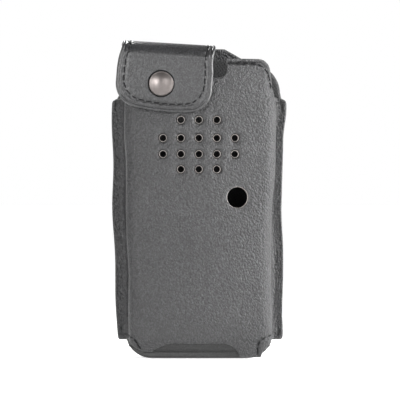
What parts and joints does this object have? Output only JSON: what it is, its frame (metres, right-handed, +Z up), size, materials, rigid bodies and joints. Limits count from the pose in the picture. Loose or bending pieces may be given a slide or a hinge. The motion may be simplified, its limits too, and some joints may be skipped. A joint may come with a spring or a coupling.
{
  "type": "leather radio carrying case",
  "caption": "Upright black leather carrying case for a handheld radio, with punched speaker holes, an open top and a strap that folds over the mouth and snaps to the front.",
  "frame": {"origin": "on the ground under the middle of the case's bounding box", "axes": "+Z up along the height, the front faces -Y, +X to the right seen from the front"},
  "size_m": [0.082, 0.0556, 0.1471],
  "materials": {
    "leather": "fine pebble grain, satin, black",
    "lining_leather": "smooth, matt, black",
    "lining": "napped, matt, black",
    "foam": "pale grey foam, matt",
    "board": "pressed fibre board",
    "thread": "twisted black thread",
    "nickel": "polished nickel, slightly warm",
    "spring_steel": "drawn wire"
  },
  "bodies": {
    "pouch": {"front_shell": "leather", "front_padding": "foam", "front_lining": "lining", "floor_panel": "leather", "back_panel": "leather", "back_board": "board", "back_lining": "lining", "belt_loop": "leather", "belt_loop_lining": "lining_leather", "strap_root": "leather", "strap_root_lining": "lining_leather", "snap_stud": "nickel", "snap_stud_post": "nickel", "front_top_stitching": "thread", "gusset_stitching": "thread", "side_seam_stitching": "thread", "foot_stitching": "thread", "back_top_stitching": "thread", "belt_loop_stitching": "thread", "strap_root_stitching": "thread"},
    "strap_bridge": {"bridge_leather": "leather", "bridge_lining": "lining_leather", "bridge_stitching": "thread"},
    "strap_tongue": {"tongue_leather": "leather", "tongue_lining": "lining_leather", "tongue_stitching": "thread", "snap_cap": "nickel", "snap_socket": "nickel", "snap_spring": "spring_steel"}
  },
  "joints": [
    {"name": "bridge_fold", "type": "hinge", "parent": "pouch", "child": "strap_bridge", "pos_m": [-0.01504, 0.02065, 0.14306], "axis": [-0.9981, 0, 0.061], "range_deg": [0, 120]},
    {"name": "tongue_fold", "type": "hinge", "parent": "strap_bridge", "child": "strap_tongue", "pos_m": [-0.01504, -0.02354, 0.14306], "axis": [-0.9981, 0, 0.061], "range_deg": [0, 100]}
  ]
}
